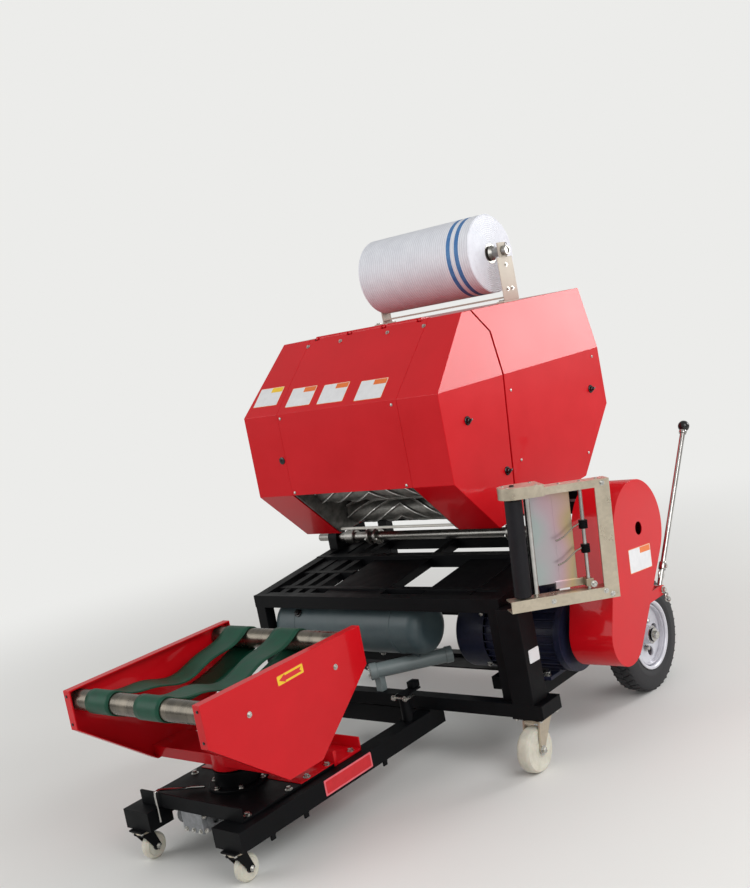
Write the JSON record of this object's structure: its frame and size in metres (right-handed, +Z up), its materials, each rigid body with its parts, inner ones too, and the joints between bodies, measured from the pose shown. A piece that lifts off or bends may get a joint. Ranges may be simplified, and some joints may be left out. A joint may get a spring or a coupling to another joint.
{
  "type": "mini silage round baler with bale wrapping table",
  "caption": "Pushable round baler for silage: faceted hood with a hinged gate over a ribbed roller chamber, net roll, belt drive, film stretcher and a turning wrap table.",
  "frame": {"origin": "on the floor, under the middle of the machine's box", "axes": "+X to the machine's right, +Y to its rear (feed side), +Z up"},
  "size_m": [1.5438, 2.0464, 1.767],
  "materials": {
    "red_paint": "gloss",
    "black_paint": "semi-gloss",
    "grey_paint": "satin",
    "navy_paint": "satin",
    "gear_paint": "satin",
    "chamber_steel": "worn",
    "white_paint": "satin",
    "shaft_steel": "turned",
    "zinc": "galvanised",
    "chromate": "yellow passivated zinc",
    "black_rubber": "matte",
    "knob_plastic": "gloss",
    "net_wrap": "knitted",
    "belt_green": "satin",
    "tyre_rubber": "matte",
    "rim_silver": "satin",
    "nylon": "moulded"
  },
  "bodies": {
    "chassis": {"rear_covers": "red_paint", "rear_side_plates": "chamber_steel", "hood_roof": "red_paint", "feed_tray": "red_paint", "base_frame": "black_paint", "chamber_stand": "black_paint", "bale_ramp": "black_paint", "shaft_bearings": "black_paint", "air_tank": "grey_paint", "air_cylinder": "grey_paint", "drive_motor": "navy_paint", "belt_guard": "red_paint", "net_bracket": "zinc", "film_frame": "zinc", "film_plate": "chromate", "film_wires": "shaft_steel", "film_post": "black_paint", "wrap_frame": "black_paint", "turntable_base": "red_paint", "table_gear_motor": "gear_paint", "wheel_axles": "black_paint", "caster_plates": "black_paint"},
    "gate": {"gate_covers": "red_paint", "gate_side_plates": "chamber_steel", "gate_front_panel": "red_paint", "gate_tie_bar": "white_paint"},
    "net": {"net_roll": "net_wrap", "net_shaft": "shaft_steel"},
    "lever": {"tension_lever": "shaft_steel", "lever_knob": "knob_plastic"},
    "table": {"table_frame": "red_paint", "table_side_plates": "red_paint", "table_belts": "belt_green"},
    "wheel_left": {"tyre_left": "tyre_rubber", "rim_left": "rim_silver"},
    "wheel_right": {"tyre_right": "tyre_rubber", "rim_right": "rim_silver"},
    "gate_roller_1": {"gate_roller_1": "chamber_steel"},
    "gate_roller_2": {"gate_roller_2": "chamber_steel"},
    "gate_roller_3": {"gate_roller_3": "chamber_steel"},
    "gate_roller_4": {"gate_roller_4": "chamber_steel"},
    "gate_roller_5": {"gate_roller_5": "chamber_steel"},
    "rear_roller_1": {"rear_roller_1": "chamber_steel"},
    "rear_roller_2": {"rear_roller_2": "chamber_steel"},
    "rear_roller_3": {"rear_roller_3": "chamber_steel"},
    "rear_roller_4": {"rear_roller_4": "chamber_steel"},
    "rear_roller_5": {"rear_roller_5": "chamber_steel"},
    "drive_shaft": {"drive_shaft": "shaft_steel"},
    "film_rubber_roller": {"film_rubber_roller": "black_rubber"},
    "film_steel_roller": {"film_steel_roller": "shaft_steel"},
    "table_roller_front": {"table_roller_front": "shaft_steel"},
    "table_roller_rear": {"table_roller_rear": "shaft_steel"},
    "caster_fork_middle_left": {"caster_fork_middle_left": "zinc"},
    "caster_wheel_middle_left": {"caster_wheel_middle_left": "nylon"},
    "caster_fork_middle_right": {"caster_fork_middle_right": "zinc"},
    "caster_wheel_middle_right": {"caster_wheel_middle_right": "nylon"},
    "caster_fork_front_left": {"caster_fork_front_left": "black_paint"},
    "caster_wheel_front_left": {"caster_wheel_front_left": "nylon"},
    "caster_fork_front_right": {"caster_fork_front_right": "black_paint"},
    "caster_wheel_front_right": {"caster_wheel_front_right": "nylon"}
  },
  "joints": [
    {"name": "gate_swing", "type": "hinge", "parent": "chassis", "child": "gate", "pos_m": [-0.1029, 0.24883, 1.44], "axis": [-1, 0, 0], "range_deg": [0, 70]},
    {"name": "gate_roller_1_spin", "type": "hinge", "parent": "gate", "child": "gate_roller_1", "pos_m": [-0.1029, 0.2692, 1.35872], "axis": [1, 0, 0], "continuous": true},
    {"name": "gate_roller_2_spin", "type": "hinge", "parent": "gate", "child": "gate_roller_2", "pos_m": [-0.1029, 0.12866, 1.24389], "axis": [1, 0, 0], "continuous": true},
    {"name": "gate_roller_3_spin", "type": "hinge", "parent": "gate", "child": "gate_roller_3", "pos_m": [-0.1029, 0.07788, 1.06966], "axis": [1, 0, 0], "continuous": true},
    {"name": "gate_roller_4_spin", "type": "hinge", "parent": "gate", "child": "gate_roller_4", "pos_m": [-0.1029, 0.13471, 0.8973], "axis": [1, 0, 0], "continuous": true},
    {"name": "gate_roller_5_spin", "type": "hinge", "parent": "gate", "child": "gate_roller_5", "pos_m": [-0.1029, 0.27917, 0.78745], "axis": [1, 0, 0], "continuous": true},
    {"name": "rear_roller_1_spin", "type": "hinge", "parent": "chassis", "child": "rear_roller_1", "pos_m": [-0.1029, 0.43697, 0.77365], "axis": [1, 0, 0], "continuous": true},
    {"name": "rear_roller_2_spin", "type": "hinge", "parent": "chassis", "child": "rear_roller_2", "pos_m": [-0.1029, 0.59252, 0.85121], "axis": [1, 0, 0], "continuous": true},
    {"name": "rear_roller_3_spin", "type": "hinge", "parent": "chassis", "child": "rear_roller_3", "pos_m": [-0.1029, 0.68074, 1.00097], "axis": [1, 0, 0], "continuous": true},
    {"name": "rear_roller_4_spin", "type": "hinge", "parent": "chassis", "child": "rear_roller_4", "pos_m": [-0.1029, 0.60763, 1.28369], "axis": [1, 0, 0], "continuous": true},
    {"name": "rear_roller_5_spin", "type": "hinge", "parent": "chassis", "child": "rear_roller_5", "pos_m": [-0.1029, 0.45786, 1.37191], "axis": [1, 0, 0], "continuous": true},
    {"name": "drive_shaft_spin", "type": "hinge", "parent": "chassis", "child": "drive_shaft", "pos_m": [-0.1029, 0.44283, 0.645], "axis": [1, 0, 0], "continuous": true},
    {"name": "lever_swing", "type": "hinge", "parent": "chassis", "child": "lever", "pos_m": [0.6821, 0.55383, 0.402], "axis": [-1, 0, 0], "range_deg": [0, 25]},
    {"name": "net_spin", "type": "hinge", "parent": "chassis", "child": "net", "pos_m": [-0.1029, 0.67983, 1.624], "axis": [1, 0, 0], "continuous": true},
    {"name": "film_rubber_roller_spin", "type": "hinge", "parent": "chassis", "child": "film_rubber_roller", "pos_m": [0.55455, -0.02932, 0.7053], "axis": [0.0463, 0.0568, 0.9973], "continuous": true},
    {"name": "film_steel_roller_spin", "type": "hinge", "parent": "chassis", "child": "film_steel_roller", "pos_m": [0.57778, 0.00707, 0.70215], "axis": [0.0463, 0.0568, 0.9973], "continuous": true},
    {"name": "table_spin", "type": "hinge", "parent": "chassis", "child": "table", "pos_m": [-0.1479, -0.69517, 0.25], "axis": [0, 0, 1], "continuous": true},
    {"name": "table_roller_front_spin", "type": "hinge", "parent": "table", "child": "table_roller_front", "pos_m": [-0.1479, -0.98217, 0.53], "axis": [1, 0, 0], "continuous": true},
    {"name": "table_roller_rear_spin", "type": "hinge", "parent": "table", "child": "table_roller_rear", "pos_m": [-0.1479, -0.40817, 0.53], "axis": [1, 0, 0], "continuous": true},
    {"name": "wheel_left_spin", "type": "hinge", "parent": "chassis", "child": "wheel_left", "pos_m": [-0.7199, 0.68083, 0.196], "axis": [1, 0, 0], "continuous": true},
    {"name": "wheel_right_spin", "type": "hinge", "parent": "chassis", "child": "wheel_right", "pos_m": [0.5141, 0.68083, 0.196], "axis": [1, 0, 0], "continuous": true},
    {"name": "caster_middle_left_swivel", "type": "hinge", "parent": "chassis", "child": "caster_fork_middle_left", "pos_m": [-0.6999, -0.00617, 0.176], "axis": [0, 0, 1], "continuous": true},
    {"name": "caster_middle_left_spin", "type": "hinge", "parent": "caster_fork_middle_left", "child": "caster_wheel_middle_left", "pos_m": [-0.6999, -0.04817, 0.072], "axis": [1, 0, 0], "continuous": true},
    {"name": "caster_middle_right_swivel", "type": "hinge", "parent": "chassis", "child": "caster_fork_middle_right", "pos_m": [0.4941, -0.00617, 0.176], "axis": [0, 0, 1], "continuous": true},
    {"name": "caster_middle_right_spin", "type": "hinge", "parent": "caster_fork_middle_right", "child": "caster_wheel_middle_right", "pos_m": [0.4941, -0.04817, 0.072], "axis": [1, 0, 0], "continuous": true},
    {"name": "caster_front_left_swivel", "type": "hinge", "parent": "chassis", "child": "caster_fork_front_left", "pos_m": [-0.3549, -0.92617, 0.108], "axis": [0, 0, 1], "continuous": true},
    {"name": "caster_front_left_spin", "type": "hinge", "parent": "caster_fork_front_left", "child": "caster_wheel_front_left", "pos_m": [-0.3549, -0.90017, 0.04], "axis": [1, 0, 0], "continuous": true},
    {"name": "caster_front_right_swivel", "type": "hinge", "parent": "chassis", "child": "caster_fork_front_right", "pos_m": [0.0591, -0.92617, 0.108], "axis": [0, 0, 1], "continuous": true},
    {"name": "caster_front_right_spin", "type": "hinge", "parent": "caster_fork_front_right", "child": "caster_wheel_front_right", "pos_m": [0.0591, -0.90017, 0.04], "axis": [1, 0, 0], "continuous": true}
  ],
  "couplings": [
    {"joint": "gate_roller_1_spin", "follows": "rear_roller_1_spin", "ratio": 1},
    {"joint": "gate_roller_2_spin", "follows": "rear_roller_1_spin", "ratio": 1},
    {"joint": "gate_roller_3_spin", "follows": "rear_roller_1_spin", "ratio": 1},
    {"joint": "gate_roller_4_spin", "follows": "rear_roller_1_spin", "ratio": 1},
    {"joint": "gate_roller_5_spin", "follows": "rear_roller_1_spin", "ratio": 1},
    {"joint": "rear_roller_2_spin", "follows": "rear_roller_1_spin", "ratio": 1},
    {"joint": "rear_roller_3_spin", "follows": "rear_roller_1_spin", "ratio": 1},
    {"joint": "rear_roller_4_spin", "follows": "rear_roller_1_spin", "ratio": 1},
    {"joint": "rear_roller_5_spin", "follows": "rear_roller_1_spin", "ratio": 1},
    {"joint": "drive_shaft_spin", "follows": "rear_roller_1_spin", "ratio": 1},
    {"joint": "table_roller_rear_spin", "follows": "table_roller_front_spin", "ratio": 1}
  ]
}
